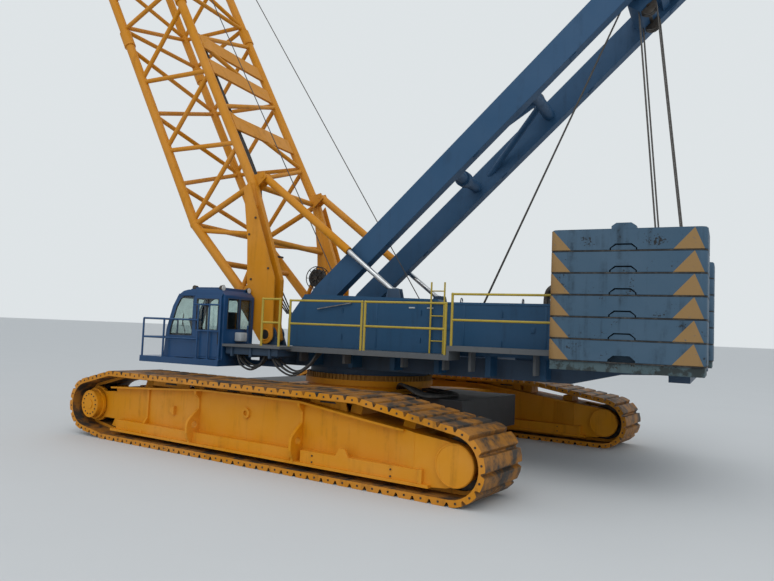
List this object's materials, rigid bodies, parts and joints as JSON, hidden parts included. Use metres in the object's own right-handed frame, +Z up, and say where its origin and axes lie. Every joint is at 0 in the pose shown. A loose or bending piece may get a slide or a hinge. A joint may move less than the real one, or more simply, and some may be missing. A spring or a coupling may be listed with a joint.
{
  "type": "crawler crane with lattice boom",
  "caption": "Large crawler crane with a yellow lattice boom and tracks, blue upper works, leaning mast and stacked counterweight plates, on a turntable.",
  "frame": {"origin": "on the ground, in the middle of the crane's whole outline; the slewing axis stands 4.719 m behind it", "axes": "+X points to the front of the upper works, +Y to its left, +Z up; the undercarriage is turned 7.6 degrees clockwise under it, seen from above"},
  "size_m": [25.9674, 11.3374, 29.4101],
  "materials": {
    "ballast_dark": "dull dark paint over steel",
    "bare_steel": "turned steel with rope grease",
    "boom_yellow": "satin paint over steel",
    "cab_blue": "gloss paint over steel",
    "crane_blue": "satin paint over steel",
    "dark_steel": "oiled and worn steel",
    "deck_grey": "worn anti-slip paint over steel",
    "engine_grey": "matt paint over iron",
    "pane_glass": "clear tinted safety glass",
    "rail_yellow": "satin paint over steel tube",
    "rod_chrome": "hard chrome",
    "rope_grey": "greased wire rope",
    "seat_cloth": "woven cloth",
    "track_yellow": "satin paint over steel",
    "weight_blue": "worn matt paint over cast steel"
  },
  "bodies": {
    "undercarriage": {"carbody": "track_yellow", "slew_ring": "dark_steel", "central_ballast": "ballast_dark", "track_frame_left": "track_yellow", "track_frame_right": "track_yellow", "track_loop_left": "track_yellow", "track_loop_right": "track_yellow", "sprockets": "dark_steel", "track_drives": "track_yellow", "idlers": "dark_steel", "track_rollers": "dark_steel"},
    "upper_works": {"main_frame": "crane_blue", "house_left": "crane_blue", "house_right": "crane_blue", "engine_block": "engine_grey", "engine_hood": "crane_blue", "walkway_left": "deck_grey", "walkway_right": "deck_grey", "handrails": "rail_yellow", "counterweight_tray": "crane_blue", "counterweight_left": "weight_blue", "counterweight_right": "weight_blue", "winch_stands": "crane_blue", "rear_tackle": "crane_blue", "cab_shell": "cab_blue", "cab_glass": "pane_glass", "cab_seat": "seat_cloth", "cab_platform": "cab_blue"},
    "front_drum": {"hoist_drum_front": "rope_grey"},
    "middle_drum": {"hoist_drum_rear": "rope_grey"},
    "rear_drum": {"luffing_drum": "rope_grey"},
    "door": {"cab_door": "cab_blue", "cab_door_glass": "pane_glass"},
    "mast": {"mast_legs": "crane_blue", "mast_sheaves": "dark_steel"},
    "boom": {"boom_foot": "boom_yellow", "boom_insert": "boom_yellow", "boom_head": "boom_yellow", "boom_sheaves": "dark_steel", "pendants": "bare_steel"},
    "stop_barrels": {"backstop_barrels": "boom_yellow"},
    "stop_rods": {"backstop_rods": "rod_chrome"},
    "block": {"hoist_falls": "rope_grey", "hook_block": "boom_yellow"},
    "hook_body": {"hook": "dark_steel"}
  },
  "joints": [
    {"name": "slew", "type": "hinge", "parent": "undercarriage", "child": "upper_works", "pos_m": [-4.71886, 0, 1.763], "axis": [0, 0, 1], "continuous": true},
    {"name": "boom_luff", "type": "hinge", "parent": "upper_works", "child": "boom", "pos_m": [-2.66886, 0, 2.65], "axis": [0, -1, 0], "range_deg": [-32, 20]},
    {"name": "mast_luff", "type": "hinge", "parent": "upper_works", "child": "mast", "pos_m": [-3.36886, 0, 3.2], "axis": [0, -1, 0], "range_deg": [-34.5, 21.6]},
    {"name": "backstop_swing", "type": "hinge", "parent": "boom", "child": "stop_barrels", "pos_m": [-2.07124, 0, 6.86252], "axis": [0, -1, 0], "range_deg": [-8.2, 13]},
    {"name": "backstop_slide", "type": "slide", "parent": "stop_barrels", "child": "stop_rods", "axis": [-0.7938, 0, -0.6081], "range_m": [-0.985, 1.575]},
    {"name": "hook_hang", "type": "hinge", "parent": "boom", "child": "block", "pos_m": [12.44856, 0, 28.41915], "axis": [0, -1, 0], "range_deg": [-20.5, 32.5]},
    {"name": "hook_swivel", "type": "hinge", "parent": "block", "child": "hook_body", "pos_m": [12.44856, 0, 20.11915], "axis": [0, 0, 1], "continuous": true},
    {"name": "front_drum_spin", "type": "hinge", "parent": "upper_works", "child": "front_drum", "pos_m": [-4.26886, 0, 2.96], "axis": [0, 1, 0], "continuous": true},
    {"name": "middle_drum_spin", "type": "hinge", "parent": "upper_works", "child": "middle_drum", "pos_m": [-6.21886, 0, 2.96], "axis": [0, 1, 0], "continuous": true},
    {"name": "rear_drum_spin", "type": "hinge", "parent": "upper_works", "child": "rear_drum", "pos_m": [-7.86886, 0, 2.96], "axis": [0, 1, 0], "continuous": true},
    {"name": "door_slide", "type": "slide", "parent": "upper_works", "child": "door", "axis": [1, 0, 0], "range_m": [0, 0.56]}
  ],
  "couplings": [
    {"joint": "mast_luff", "follows": "boom_luff", "ratio": 1.07},
    {"joint": "backstop_swing", "follows": "boom_luff", "ratio": -0.4},
    {"joint": "backstop_slide", "follows": "boom_luff", "m_per_rad": -2.8},
    {"joint": "hook_hang", "follows": "boom_luff", "ratio": -1}
  ]
}
